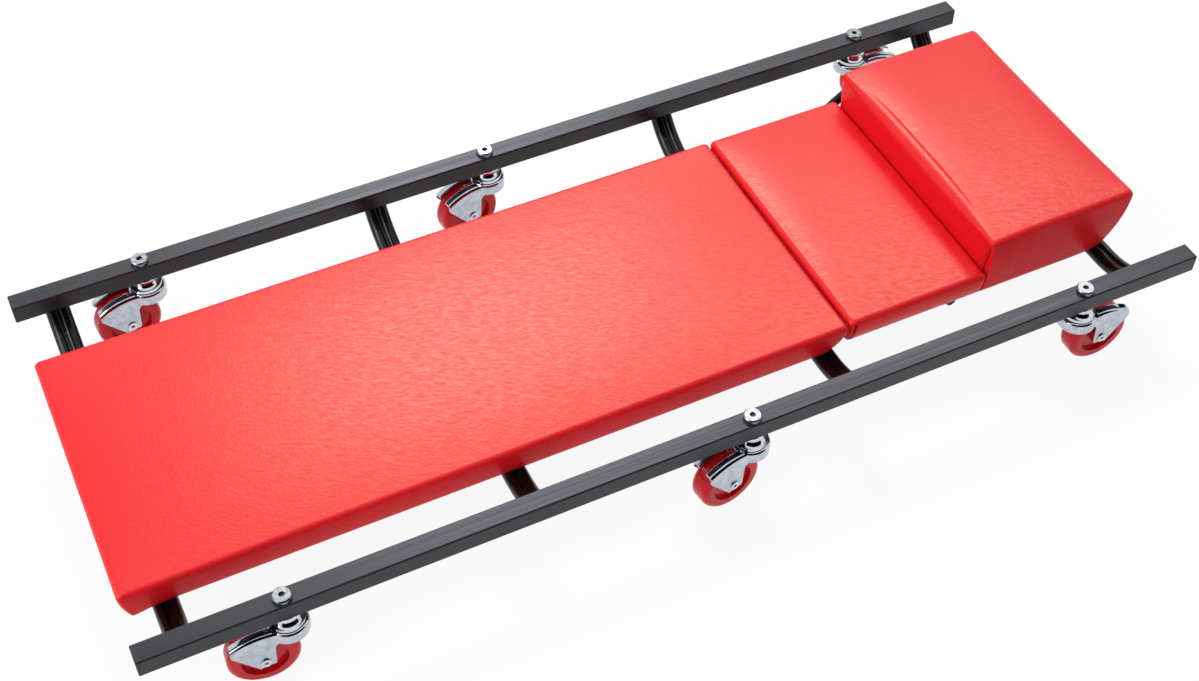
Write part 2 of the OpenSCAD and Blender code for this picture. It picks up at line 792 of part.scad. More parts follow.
module fork() {
    color("#b4bac0")
    difference() {
        union() {
            intersection() {
                hood();
                upright(3 * fork_gap) leg_outline();
            }
            front_ring();
        }
        translate([0, -fork_half, 0]) cube([ring_r + over, fork_gap, plate_z]);
        translate([0, 0, plate_top]) cylinder(r = ring_r - fork_t, h = 2 * ring_skirt);
        translate([0, 0, plate_z - over]) cylinder(d = stem_d + 2 * fit, h = ring_skirt);
        translate([trail, 0, wheel_r]) rotate([90, 0, 0])
            cylinder(d = axle_d + 2 * fit, h = 3 * fork_gap, center = true);
    }
}

module axle() {
    inner = fork_half - fit;
    color("#c4c8cc")
    translate([trail, 0, wheel_r]) rotate([90, 0, 0]) difference() {
        union() {
            cylinder(d = sleeve_d, h = 2 * inner, center = true);
            cylinder(d = axle_d, h = 2 * (fork_out + rivet_dome), center = true);
            for (s = sides) mirror([0, 0, s > 0 ? 0 : 1]) translate([0, 0, fork_out + fit])
                cylinder(r = rivet_head, h = rivet_dome);
        }
        for (s = sides) mirror([0, 0, s > 0 ? 0 : 1]) translate([0, 0, fork_out - rivet_dome])
            cylinder(d = rivet_hole, h = 3 * rivet_dome);
    }
}

module wheel() {
    half = wheel_w / 2;
    hub_half = fork_half - hub_gap;
    color("#c8202c")
    translate([trail, 0, wheel_r]) rotate([90, 0, 0]) rotate_extrude() difference() {
        union() {
            translate([0, -half]) square([wheel_r, wheel_w]);
            translate([0, -hub_half]) square([hub_r, 2 * hub_half]);
        }
        for (s = sides) mirror([0, s > 0 ? 0 : 1]) {
            translate([wheel_r, half]) corner_waste(wheel_edge);
            translate([hub_r, half - recess_depth]) square([recess_r - hub_r, recess_depth + over]);
        }
        translate([0, -wheel_w]) square([sleeve_d / 2 + fit, 2 * wheel_w]);
    }
}

rail(-1);  // rail_left
rail(1);  // rail_right
for (i = [0:bar_count - 1]) crossbar(i);
for (i = [0:3]) end_cap(i % 2 == 0 ? -1 : 1, i < 2 ? -1 : 1);
body_board();
body_cushion();
board_bolts();
tee_nuts();
cap_nuts();
hinge_brackets();
hinge_straps();
hinge_rivets();
hinge_screws();
head_board();
head_cushion();
pillow();
prop_rod();
prop_clips();
clip_screws();
for (i = [0:5]) caster_place(i) {
    stem();
    balls();
    fork();
    axle();
    wheel();
}
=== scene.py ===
import bpy
import math
import numpy as np
from mathutils import Matrix, Vector


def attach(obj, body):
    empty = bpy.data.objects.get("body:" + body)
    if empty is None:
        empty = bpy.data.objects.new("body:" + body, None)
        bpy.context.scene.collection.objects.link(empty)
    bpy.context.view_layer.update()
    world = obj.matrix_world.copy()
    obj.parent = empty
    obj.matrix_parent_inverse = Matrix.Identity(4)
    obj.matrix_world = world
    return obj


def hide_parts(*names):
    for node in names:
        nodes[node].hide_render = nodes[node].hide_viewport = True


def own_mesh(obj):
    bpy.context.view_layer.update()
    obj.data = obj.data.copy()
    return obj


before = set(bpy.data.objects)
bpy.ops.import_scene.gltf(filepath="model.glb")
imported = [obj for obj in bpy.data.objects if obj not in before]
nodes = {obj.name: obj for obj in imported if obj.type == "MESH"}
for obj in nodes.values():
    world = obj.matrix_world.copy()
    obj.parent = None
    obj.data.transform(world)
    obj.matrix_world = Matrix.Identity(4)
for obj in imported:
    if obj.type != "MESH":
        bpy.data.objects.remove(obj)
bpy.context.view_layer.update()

scene = bpy.context.scene
scene.view_settings.view_transform = "Standard"
print("frame loaded:", len(nodes), "CAD nodes")


# Small helpers

def hexColour(code):  # sRGB hex to the linear colour that shaders take
    parts = [int(code[i:i + 2], 16) / 255 for i in (1, 3, 5)]
    return tuple(c / 12.92 if c <= 0.04045 else ((c + 0.055) / 1.055) ** 2.4 for c in parts) + (1.0,)


def addNode(tree, kind, settings=None, inputs=None):  # inputs: socket name or number -> value, or (node, output)
    node = tree.nodes.new(kind)
    for key, value in (settings or {}).items():
        setattr(node, key, value)
    for key, value in (inputs or {}).items():
        if isinstance(value, tuple) and isinstance(value[0], bpy.types.Node):
            tree.links.new(value[0].outputs[value[1]], node.inputs[key])
        else:
            node.inputs[key].default_value = value
    return node


def emptyMaterial(name):
    material = bpy.data.materials.new(name)
    material.use_nodes = True
    material.node_tree.nodes.clear()
    return material, material.node_tree


def objectPlace(tree):
    return addNode(tree, "ShaderNodeTexCoord"), "Object"


def stretched(tree, source, scale):
    return addNode(tree, "ShaderNodeMapping", inputs={"Vector": source, "Scale": scale}), 0


def noiseOn(tree, source, sizeMm, detail, roughness=0.5, distortion=0.0):
    noise = addNode(tree, "ShaderNodeTexNoise", inputs={
        "Vector": source, "Scale": 1000 / sizeMm, "Detail": detail, "Roughness": roughness,
        "Distortion": distortion})
    return noise, "Fac"


def colourRamp(tree, source, band, codes):  # the first colour below the band, the second above it
    ramp = addNode(tree, "ShaderNodeValToRGB", inputs={"Fac": source})
    for element, position, code in zip(ramp.color_ramp.elements, band, codes):
        element.position, element.color = position, hexColour(code)
    return ramp, 0


def mapTo(tree, source, band, ends):  # the first end below the band, the second above it
    mapped = addNode(tree, "ShaderNodeMapRange", inputs={
        "Value": source, "From Min": band[0], "From Max": band[1], "To Min": ends[0], "To Max": ends[1]})
    return mapped, 0


def roughnessOn(tree, source, look):
    return mapTo(tree, source, look["glossBand"], [look["roughness"] + change for change in look["glossChange"]])


def bumpOn(tree, height, bump, under=None):  # bump: strength, height in metres
    inputs = {"Height": height, "Strength": bump[0], "Distance": bump[1]}
    if under:
        inputs["Normal"] = under
    return addNode(tree, "ShaderNodeBump", inputs=inputs), 0


def finishMaterial(tree, inputs):
    shader = addNode(tree, "ShaderNodeBsdfPrincipled", inputs=inputs)
    addNode(tree, "ShaderNodeOutputMaterial", inputs={"Surface": (shader, 0)})


def smoothStep(t):
    t = np.clip(t, 0, 1)
    return t * t * (3 - 2 * t)


def gridObject(name, points, material, sharpAngle):
    # rows x columns x 3 points, closed round the columns; the first and last rows shrink to one point each
    rows, columns = points.shape[:2]
    body = points[1:-1].reshape(-1, 3)
    vertices = np.vstack([body, points[0].mean(axis=0), points[-1].mean(axis=0)])
    first, last = len(body), len(body) + 1
    ring = np.arange(rows - 2)[:, None] * columns
    here = ring + np.arange(columns)
    after = ring + np.roll(np.arange(columns), -1)
    quads = np.stack([here[:-1], after[:-1], after[1:], here[1:]], axis=-1).reshape(-1, 4)
    low = np.stack([after[0], here[0], np.full(columns, first)], axis=-1)
    high = np.stack([here[-1], after[-1], np.full(columns, last)], axis=-1)
    mesh = bpy.data.meshes.new(name)
    mesh.from_pydata(vertices.tolist(), [], quads.tolist() + low.tolist() + high.tolist())
    mesh.validate()
    mesh.polygons.foreach_set("use_smooth", np.ones(len(mesh.polygons), bool))
    mesh.set_sharp_from_angle(angle=math.radians(sharpAngle))
    normals = np.zeros(len(mesh.vertices) * 3, np.float32)
    mesh.vertices.foreach_get("normal", normals)
    upward = mesh.attributes.new("facing_up", "FLOAT", "POINT")  # 1 on top, 0 on the sides; the vinyl reads it to paint shade into the sides' sheen
    upward.data.foreach_set("value", normals[2::3])
    mesh.materials.append(material)
    thing = bpy.data.objects.new(name, mesh)
    scene.collection.objects.link(thing)
    return thing


# Red vinyl: calendered PVC on a knit, a soft sheen over a fine pebbled grain

vinylLook = {
    "red": "#f01c29",
    # the deeper red is painted shade in the wrinkles' valleys
    "creaseShadeRed": "#e91824",
    "toneBand": (0.35, 0.6),
    "sheenTint": "#ffffe2",
    "specular": 0.42,
    "sideShadeSpecular": 0.095,  # painted shade: the sides get less sheen than the tops, so their reflection of the white floor is dimmed; the cover is the same vinyl all round
    "sideShadeFacing": (0.35, 0.8),
    "roughness": 0.335,
    "glossBand": (0.35, 0.65),
    "glossChange": (0.08, -0.05),
    "grainMm": 2.6,         # real grain is about 1 mm; drawn coarser so that it shows
    "grainSoftness": 0.6,
    "grainBump": (0.13, 0.0005),
    "wrinkleMm": 3.4,
    "wrinkleTurn": -26,     # direction of the fine wrinkles, degrees from the head end
    "wrinkleStretch": (0.4, 1.5, 1.2),
    "wrinkleShare": 1.6,    # depth of the wrinkles beside the grain
    "creaseMm": 40,
    "creaseStretch": (0.7, 1.4, 1.0),
    "creaseBump": (0.09, 0.001),
}


def vinylMaterial(name, look):
    material, tree = emptyMaterial(name)
    place = objectPlace(tree)
    grain = addNode(tree, "ShaderNodeTexVoronoi", {"feature": "SMOOTH_F1"}, {
        "Vector": place, "Scale": 1000 / look["grainMm"], "Smoothness": look["grainSoftness"],
        "Randomness": 1.0})
    turned = addNode(tree, "ShaderNodeMapping", inputs={
        "Vector": place, "Rotation": (0.0, 0.0, math.radians(-look["wrinkleTurn"]))})
    drawn = stretched(tree, (turned, 0), look["wrinkleStretch"])
    wrinkle = noiseOn(tree, drawn, look["wrinkleMm"], detail=4.0, roughness=0.62, distortion=0.6)
    both = addNode(tree, "ShaderNodeMath", {"operation": "MULTIPLY_ADD"}, {
        0: wrinkle, 1: look["wrinkleShare"], 2: (grain, "Distance")})
    crease = noiseOn(
        tree, stretched(tree, place, look["creaseStretch"]), look["creaseMm"], detail=2.0, roughness=0.45)
    slack = bumpOn(tree, crease, look["creaseBump"])
    facing = addNode(tree, "ShaderNodeAttribute", {"attribute_name": "facing_up"})
    finishMaterial(tree, {
        # painted shade: the wrinkles' valleys take the deeper red
        "Base Color": colourRamp(tree, wrinkle, look["toneBand"], (look["creaseShadeRed"], look["red"])),
        "Roughness": roughnessOn(tree, wrinkle, look),
        "Normal": bumpOn(tree, (both, 0), look["grainBump"], slack),
        # painted shade: the sheen is cut on faces that look sideways, read from the facing_up attribute
        "Specular IOR Level": mapTo(
            tree, (facing, "Fac"), look["sideShadeFacing"], (look["sideShadeSpecular"], look["specular"])),
        "Specular Tint": hexColour(look["sheenTint"])})
    return material


redVinyl = vinylMaterial("red_vinyl_calendered", vinylLook)

# Black powder coat: satin polyester powder on steel tube, faint orange peel and lengthwise draw marks

railLook = {
    "black": "#1c1c1f", "worn": "#242428", "toneBand": (0.35, 0.7),
    "sheenTint": "#eef0ff", "specular": 0.45,
    "roughness": 0.345, "glossBand": (0.3, 0.7), "glossChange": (-0.05, 0.08),
    "drawMarks": (4.0, 420.0, 420.0),  # marks per metre along, across and down
    "peelMm": 1.6, "bump": (0.12, 0.0003),
}


def railMaterial(name, look):
    material, tree = emptyMaterial(name)
    place = objectPlace(tree)
    marks = addNode(tree, "ShaderNodeTexNoise", inputs={
        "Vector": stretched(tree, place, look["drawMarks"]), "Scale": 1.0, "Detail": 3.0})
    peel = noiseOn(tree, place, look["peelMm"], detail=2.0)
    finishMaterial(tree, {
        "Base Color": colourRamp(tree, (marks, "Fac"), look["toneBand"], (look["black"], look["worn"])),
        "Roughness": roughnessOn(tree, (marks, "Fac"), look), "Normal": bumpOn(tree, peel, look["bump"]),
        "Specular IOR Level": look["specular"], "Specular Tint": hexColour(look["sheenTint"])})
    return material


railBlack = railMaterial("black_powder_coat_satin", railLook)

# Gloss black enamel on the pressed crossbars: wet look, so the valleys show sharp highlights

enamelLook = {
    "black": "#0a0a0b", "specular": 0.3,
    "roughness": 0.2, "glossBand": (0.35, 0.7), "glossChange": (-0.04, 0.12),
    "waveMm": 9, "bump": (0.25, 0.0008),
}


def enamelMaterial(name, look):
    material, tree = emptyMaterial(name)
    wave = noiseOn(tree, objectPlace(tree), look["waveMm"], detail=2.0)
    finishMaterial(tree, {
        "Base Color": hexColour(look["black"]), "Roughness": roughnessOn(tree, wave, look),
        "Normal": bumpOn(tree, wave, look["bump"]), "Specular IOR Level": look["specular"]})
    return material


barBlack = enamelMaterial("black_enamel_gloss", enamelLook)

# Moulded black polyethylene of the end caps: dull, with a fine spark-eroded texture

capLook = {
    "black": "#131315",
    "roughness": 0.5, "glossBand": (0.0, 1.0), "glossChange": (-0.08, 0.1),
    "grainMm": 0.9, "bump": (0.2, 0.0003),
}


def mouldedMaterial(name, look):
    material, tree = emptyMaterial(name)
    grain = noiseOn(tree, objectPlace(tree), look["grainMm"], detail=3.0)
    finishMaterial(tree, {
        "Base Color": hexColour(look["black"]), "Roughness": roughnessOn(tree, grain, look),
        "Normal": bumpOn(tree, grain, look["bump"])})
    return material


capBlack = mouldedMaterial("black_polyethylene_moulded", capLook)

# Red polyurethane wheels: moulded and glossy, the flow of the melt just shows in the tone

wheelLook = {
    "red": "#da1823", "dark": "#cc131d", "toneBand": (0.35, 0.65), "specular": 0.22,
    "roughness": 0.16, "glossBand": (0.4, 0.75), "glossChange": (0.0, 0.14),
    "flowMm": 14, "bump": (0.1, 0.0005),
}


def wheelMaterial(name, look):
    material, tree = emptyMaterial(name)
    flow = noiseOn(tree, objectPlace(tree), look["flowMm"], detail=4.0)
    finishMaterial(tree, {
        "Base Color": colourRamp(tree, flow, look["toneBand"], (look["dark"], look["red"])),
        "Roughness": roughnessOn(tree, flow, look), "Normal": bumpOn(tree, flow, look["bump"]),
        "Specular IOR Level": look["specular"]})
    return material


wheelRed = wheelMaterial("red_polyurethane_moulded", wheelLook)

# Steel. The pressed forks have clear zinc plate: cool grey and satin on the flat legs, nearly a mirror where the
# press has stretched the shoulders. Drawn cups have bright nickel plate, cap nuts tumbled nickel, screws dull zinc

forkLook = {"tone": "#c6ccd5", "dull": "#aab2be", "spangleMm": 7, "roughness": 0.3, "glossChange": (-0.05, 0.07),
            "shoulderRoughness": 0.1, "shoulderZ": (0.050, 0.060)}
brightLook = {"tone": "#d9dce0", "dull": "#c3c7cc", "spangleMm": 4, "roughness": 0.12, "glossChange": (-0.06, 0.08)}
nutLook = {"tone": "#8f9398", "dull": "#70757a", "spangleMm": 3, "roughness": 0.3, "glossChange": (-0.06, 0.08)}
screwLook = {"tone": "#b9bdc3", "dull": "#9fa4ab", "spangleMm": 5, "roughness": 0.32, "glossChange": (-0.06, 0.08)}
plateLook = {"toneBand": (0.35, 0.65), "glossBand": (0.3, 0.7), "bump": (0.12, 0.0004)}


def steelMaterial(name, look):
    material, tree = emptyMaterial(name)
    place = objectPlace(tree)
    spangle = noiseOn(tree, place, look["spangleMm"], detail=3.0, roughness=0.55)
    gloss = look["roughness"]
    if "shoulderZ" in look:
        split = addNode(tree, "ShaderNodeSeparateXYZ", inputs={0: place})
        gloss = mapTo(tree, (split, "Z"), look["shoulderZ"], (look["roughness"], look["shoulderRoughness"]))
    cloud = mapTo(tree, spangle, plateLook["glossBand"], look["glossChange"])
    clouded = addNode(tree, "ShaderNodeMath", {"operation": "ADD"}, {0: gloss, 1: cloud})
    finishMaterial(tree, {
        "Base Color": colourRamp(tree, spangle, plateLook["toneBand"], (look["dull"], look["tone"])),
        "Metallic": 1.0, "Roughness": (clouded, 0), "Normal": bumpOn(tree, spangle, plateLook["bump"])})
    return material


zincPlate = steelMaterial("zinc_plate_clear", forkLook)
brightNickel = steelMaterial("nickel_plate_bright", brightLook)
nutNickel = steelMaterial("nickel_plate_tumbled", nutLook)
screwZinc = steelMaterial("zinc_plate_screws", screwLook)

# Boards: rotary-cut birch ply with long cathedral grain, and the same coloured black under the headrest, where its
# edge shows as a thin dark line below the head cushions

plyLook = {"light": "#c99e68", "dark": "#a97c48", "roughness": 0.62}
blackPlyLook = {"light": "#1d1c1c", "dark": "#121212", "roughness": 0.6}
grainLook = {"grainMm": 5, "stretch": (0.06, 1.0, 2.2), "toneBand": (0.35, 0.62), "bump": (0.2, 0.0004)}


def plyMaterial(name, look):
    material, tree = emptyMaterial(name)
    along = stretched(tree, objectPlace(tree), grainLook["stretch"])
    rings = noiseOn(tree, along, grainLook["grainMm"], detail=4.0, distortion=0.8)
    finishMaterial(tree, {
        "Base Color": colourRamp(tree, rings, grainLook["toneBand"], (look["dark"], look["light"])),
        "Roughness": look["roughness"], "Normal": bumpOn(tree, rings, grainLook["bump"])})
    return material


birchPly = plyMaterial("birch_plywood_sanded", plyLook)
blackPly = plyMaterial("birch_plywood_black", blackPlyLook)
print("materials ready")

# CAD nodes keep their shape and get their finish, by the start of their name

finishes = {
    "rail_": railBlack, "crossbar_": barBlack, "end_cap_": capBlack,
    "body_board": birchPly, "head_board": blackPly,
    "cap_nuts": nutNickel, "board_bolts": screwZinc, "tee_nuts": screwZinc,
    "hinge_brackets": barBlack, "hinge_straps": barBlack, "hinge_rivets": screwZinc,
    "hinge_screws": screwZinc, "clip_screws": screwZinc, "prop_clips": screwZinc, "prop_rod": barBlack,
    "stem_": brightNickel, "balls_": brightNickel, "fork_": zincPlate, "axle_": brightNickel,
    "wheel_": wheelRed,
}


def dress(thing, material):
    if not thing.material_slots:
        thing.data.materials.append(material)
    for spot in thing.material_slots:
        spot.material = material


for nodeName, thing in nodes.items():
    for start, material in finishes.items():
        if nodeName.startswith(start):
            dress(thing, material)
print("CAD nodes dressed")

# Cushions: vinyl drawn over foam on a board, sizes in mm

cushionShape = {
    # columns along each end, side and corner; rings under the foam, in the board's pocket, up the side, over the
    # top edge and over the top
    "endColumns": 150, "sideColumns": 132, "arcColumns": 22,
    "underRings": (0.0, 0.5, 0.9, 0.98, 1.0), "pocketRings": (0.1, 0.5, 0.9, 1.0),
    "sideRings": (0, 0.03, 0.07, 0.13, 0.2, 0.29, 0.38, 0.48, 0.58, 0.68, 0.79, 0.9, 1.0),
    "edgeRings": 12, "topRings": 48,
    "sharpAngle": 38,
    # half width of the board's pocket, thickness of the hem round it and how soon the hem ends
    "boardHalf": 131.7, "hem": 0.4, "hemFade": 40,
    # corner radii half way up and at the top, draw-in of the ends at the bottom and how it grows downwards
    "corner": 4.5, "topCorner": 3.0, "tuck": 4.0, "tuckPower": 2.0, "cornerPower": 0.8, "dropPower": 3,
    # how far from a corner its pull is felt, and how far its tight top edge reaches
    "pullReach": 20.0, "edgeReach": 45.0, "frontReach": 24,
    "crown": 3.2, "crownAcross": 2.4, "crownAlong": 5,
    "ripple": 0.5, "rippleWaves": (9, 14, 23, 37), "ripplePower": 0.8,
    # the slit in the side beside the foot end's corners, and the level where it begins to close
    "slitDepth": 5.5, "slitWidth": 1.15, "slitBeyond": 0.8, "slitBand": 6, "slitTop": (0.8, 0.1),
    # the foot end's cover lies over the corners' fold: its step, groove, and width at the top and the bottom
    "foldStep": 2.4, "foldEdge": 0.15, "foldGroove": 1.4, "grooveAt": (1.0, 0.8), "foldWidths": (5.0, 13.0),
    "foldTop": (0.84, 0.08),
    "fill": 0.9,
}
# foot and top are heights, and of each pair the first is the foot end. rounds: top edge at the foot end, sides and
# head end; tucks: shares of the draw-in; lowCorners: corner radii at the bottom; pulls: how far the bottom corners
# are pulled in; drop: sag of the foot end's bottom corners; frontDrop: how much lower the foot end's top edge is
bodyCushion = {
    "x0": -508.8, "x1": 177.6, "half": 140.4, "foot": 48.3, "top": 79.0, "rounds": (6.0, 5.0, 6.0),
    "tucks": (1.75, 1), "sideTuck": 3.7, "lowCorners": (3.0, 20.8), "pulls": ((0.0, -0.6), (0.0, 0.0)),
    "drop": 3.2, "frontDrop": 0.0, "fold": "",
    "boardX": (-499.4, 170.9), "boardTop": 57.1, "boardCorners": (20.2, 20.2),
}
headCushion = {
    "x0": 180.0, "x1": 328.85, "half": 139.5, "foot": 50.0, "top": 79.8, "rounds": (6.0, 5.5, 4.0),
    "tucks": (0.3, 0), "sideTuck": 6.4, "lowCorners": (4.0, 1.5), "pulls": ((0.3, 0.3), (0.0, 0.0)),
    "drop": 0.0, "frontDrop": 0.0, "fold": "side", "yields": 0.956,
    "boardX": (188.1, 327.6), "boardTop": 57.35, "boardCorners": (20.2, 6.0),
}
pillowCushion = {
    "x0": 329.15, "x1": 491.3, "half": 137.3, "foot": 50.0, "top": 119.2, "rounds": (12.0, 5.5, 8.0),
    "tucks": (0, 2.4), "sideTuck": 4.0, "lowCorners": (3.5, 14.0), "pulls": ((0.0, 0.0), (2.0, 2.0)),
    "drop": 0.0, "frontDrop": 2.5, "fold": "end",
    "boardX": (330.4, 478.6), "boardTop": 57.35, "boardCorners": (6.0, 20.2),
}


def outlineShares(shape):
    # each column's part (0, 2, 4, 6 straight, 1, 3, 5, 7 corners) and share of the way along it, closer near corners
    counts = [shape["endColumns"], shape["arcColumns"], shape["sideColumns"], shape["arcColumns"]] * 2
    parts, shares = [], []
    for part, count in enumerate(counts):
        t = np.arange(count) / count
        if part % 2 == 0:
            t = 0.25 * t + 0.75 * (1 - np.cos(math.pi * t)) / 2
        parts.append(np.full(count, part))
        shares.append(t)
    return np.concatenate(parts), np.concatenate(shares)


def roundedOutline(x0, x1, half, corners, part, share):
    # straight sides joined by quarter circles, one radius at each end; gives points and their outward directions
    # (the ends and sides may be given per column)
    quarter = part // 2
    atHead = (quarter == 0) | (quarter == 3)
    radius = np.where(atHead, corners[1], corners[0])
    angle = (quarter + np.where(part % 2 == 1, share, 0)) * math.pi / 2
    cornerX = np.where(atHead, x1 - radius, x0 + radius)
    cornerY = np.where(quarter < 2, half - radius, radius - half)
    run = np.where(quarter % 2 == 0, 2 * (half - radius), x1 - x0 - corners[0] - corners[1])
    slide = np.where(part % 2 == 0, (1 - share) * run, 0)
    backX = np.array([0, 1, 0, -1])[quarter] * slide
    backY = np.array([-1, 0, 1, 0])[quarter] * slide
    out = np.stack([np.cos(angle), np.sin(angle)], axis=-1)
    return np.stack([cornerX + radius * out[:, 0] + backX, cornerY + radius * out[:, 1] + backY], axis=-1), out


def cushionPoints(shape, pad, seed):
    # rows run from the middle of the underside, out under the foam, down the board's edge, round the rim, up the
    # side, over the round top edge and up the crown to the middle; columns run round the outline
    part, share = outlineShares(shape)
    x0, x1, half, corner = pad["x0"], pad["x1"], pad["half"], shape["corner"]
    footEdge, sideEdge, headEdge = pad["rounds"]
    outline, out = roundedOutline(x0, x1, half, (corner, corner), part, share)
    pocket, _ = roundedOutline(*pad["boardX"], shape["boardHalf"], pad["boardCorners"], part, share)
    middle = np.array([(x0 + x1) / 2, 0.0])
    spread = 1 - np.exp(-((half - np.abs(outline[:, 1])) / shape["edgeReach"]) ** 2)
    footRound, headRound = (sideEdge + (edge - sideEdge) * spread for edge in (footEdge, headEdge))
    roundHere = sideEdge + out[:, 0] ** 2 * (np.where(out[:, 0] > 0, headRound, footRound) - sideEdge)
    brow = pad["top"] - roundHere
    atHead = outline[:, 0] > middle[0]
    away = np.hypot(outline[:, 0] - np.where(atHead, x1, x0), np.abs(outline[:, 1]) - half)
    nearCorner = np.exp(-(away / shape["pullReach"]) ** 2)
    inward = np.column_stack([np.where(atHead, -1, 1), -np.sign(outline[:, 1])])
    pull = np.where(atHead[:, None], pad["pulls"][1], pad["pulls"][0]) * inward * nearCorner[:, None]
    drop = pad["drop"] * np.where(atHead, 0, nearCorner)
    rows, cornerRadii = [], []

    def addRow(flat, high, radius=0.0):  # radius: the foot end's corner radius in this row
        rows.append(np.column_stack([flat, np.broadcast_to(high, part.shape)]))
        cornerRadii.append(radius)

    def sideOutline(draw):      # the side's outline where this share of the draw-in is reached
        low = [corner + (radius - corner) * draw ** shape["cornerPower"] for radius in pad["lowCorners"]]
        tuck = shape["tuck"] * draw
        flat, _ = roundedOutline(
            x0 + tuck * pad["tucks"][0], x1 - tuck * pad["tucks"][1], half - pad["sideTuck"] * draw,
            low, part, share)
        return flat + pull * draw, low[0]

    for near in shape["underRings"]:
        addRow(middle + (pocket - middle) * near, pad["boardTop"])
    for near in shape["pocketRings"]:
        addRow(pocket, pad["boardTop"] + (pad["foot"] + shape["hem"] - pad["boardTop"]) * near)
    underRows = len(rows)
    for rise in shape["sideRings"]:
        flat, low = sideOutline((1 - rise) ** shape["tuckPower"])
        high = pad["foot"] + rise * (brow - pad["foot"]) - drop * (1 - rise) ** shape["dropPower"]
        addRow(flat - out * shape["hem"] * math.exp(-rise * shape["hemFade"]), high, low)
    for step in np.linspace(0, math.pi / 2, shape["edgeRings"])[1:]:
        foot, side, head = (size * (1 - math.cos(step)) for size in (footRound, sideEdge, headRound))
        tight = corner + (shape["topCorner"] - corner) * (1 - math.cos(step))
        flat, _ = roundedOutline(x0 + foot, x1 - head, half - side, (tight, tight), part, share)
        addRow(flat, brow + roundHere * math.sin(step), tight)
    shoulder = rows[-1][:, :2]
    for near in (np.linspace(1, 0, shape["topRings"]) ** 0.85)[1:]:
        flat = middle + (shoulder - middle) * near
        across = np.clip(np.abs(flat[:, 1]) / (half - sideEdge), 0, 1)
        lengthways = np.clip(np.abs(flat[:, 0] - middle[0]) / ((x1 - x0) / 2 - sideEdge), 0, 1)
        crown = shape["crown"] * (1 - across ** shape["crownAcross"]) * (1 - lengthways ** shape["crownAlong"])
        addRow(flat, pad["top"] + crown, 1.0)
    points = np.stack(rows)
    outer = (np.arange(len(rows)) >= underRows)[:, None]

    # soft dents where the vinyl is stapled under: waves along the outline, strongest half way up the side
    steps = np.linalg.norm(np.diff(outline, axis=0, append=outline[:1]), axis=1)
    way = np.concatenate([[0], np.cumsum(steps)[:-1]]) / steps.sum() * 2 * math.pi
    chance = np.random.default_rng(seed)
    waves = [chance.uniform(0.5, 1) * np.cos(count * way + chance.uniform(0, 6.3)) for count in shape["rippleWaves"]]
    level = np.clip((points[:, :, 2] - pad["foot"]) / (pad["top"] - pad["foot"]), 0, 1)
    dent = np.sin(level * math.pi) ** shape["ripplePower"] * (0.5 + 0.5 * (sum(waves) / 4)) * shape["ripple"]
    dent[:underRows] = 0
    points[:, :, 2] -= pad["frontDrop"] * np.exp(-((points[:, :, 0] - x0) / shape["frontReach"]) ** 2) * level * outer
    if pad["fold"] == "side":   # a slit in the side beside each corner at the foot end, where the cover is folded
        closes, over = shape["slitTop"]
        for row in range(underRows, len(rows)):
            gap = points[row, :, 0] - (x0 + cornerRadii[row] + shape["slitBeyond"])
            onSide = np.abs(points[row, :, 1]) > half - shape["slitBand"]
            slit = np.exp(-(gap / shape["slitWidth"]) ** 2) * onSide
            dent[row] += shape["slitDepth"] * slit * (1 - smoothStep((level[row] - closes) / over))
    if pad["fold"] == "end":    # the foot end's cover lies over the corners' fold, which is wider low down
        narrow, wide = shape["foldWidths"]
        grooveAt, grooveWidth = shape["grooveAt"]
        closes, over = shape["foldTop"]
        past = half - np.abs(points[:, :, 1]) - (narrow + (wide - narrow) * (1 - level))
        under = 1 / (1 + np.exp(np.clip(past / shape["foldEdge"], -40, 40)))
        under += shape["foldGroove"] * np.exp(-((past + grooveAt) / grooveWidth) ** 2)
        under *= np.clip(-out[:, 0], 0, 1) * (1 - smoothStep((level - closes) / over)) * outer
        points[:, :, 0] += shape["foldStep"] * under
    points[:, :, :2] -= out * dent[:, :, None]
    return points / 1000


def makeCushion(name, pad, node, body, seed):
    thing = gridObject(name, cushionPoints(cushionShape, pad, seed), redVinyl, cushionShape["sharpAngle"])
    if "yields" in pad:         # the head cushion gets its own copy of its mesh
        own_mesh(thing)
    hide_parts(node)
    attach(thing, body)


makeCushion("body_cushion_vinyl", bodyCushion, "body_cushion", "frame", 3)
makeCushion("head_cushion_vinyl", headCushion, "head_cushion", "headrest", 5)
makeCushion("pillow_vinyl", pillowCushion, "pillow", "headrest", 8)
print("cushions made")

# Floor, sky and the black cloth behind the photographer: the dark side of the room, seen only in reflections

stageLook = {"floorSize": 30.0, "white": "#ffffff", "shadowShare": 0.09, "sky": 0.42}
clothLook = {"colour": "#050505", "x": (-3.4, 3.4), "y": -2.7, "z": (0.25, 4.6), "lean": 0.9}


def whiteRays(tree):  # 1 for what the camera, reflections and glass see, 0 for the light that falls on matt faces
    lightPath = addNode(tree, "ShaderNodeLightPath")
    direct = addNode(tree, "ShaderNodeMath", {"operation": "MAXIMUM"}, {
        0: (lightPath, "Is Camera Ray"), 1: (lightPath, "Is Glossy Ray")})
    seen = addNode(tree, "ShaderNodeMath", {"operation": "MAXIMUM"}, {
        0: (direct, 0), 1: (lightPath, "Is Transmission Ray")})
    return seen, 0


def addPanel(name, corners, material):
    mesh = bpy.data.meshes.new(name)
    mesh.from_pydata(corners, [], [(0, 1, 2, 3)])
    mesh.materials.append(material)
    panel = bpy.data.objects.new(name, mesh)
    scene.collection.objects.link(panel)
    return panel


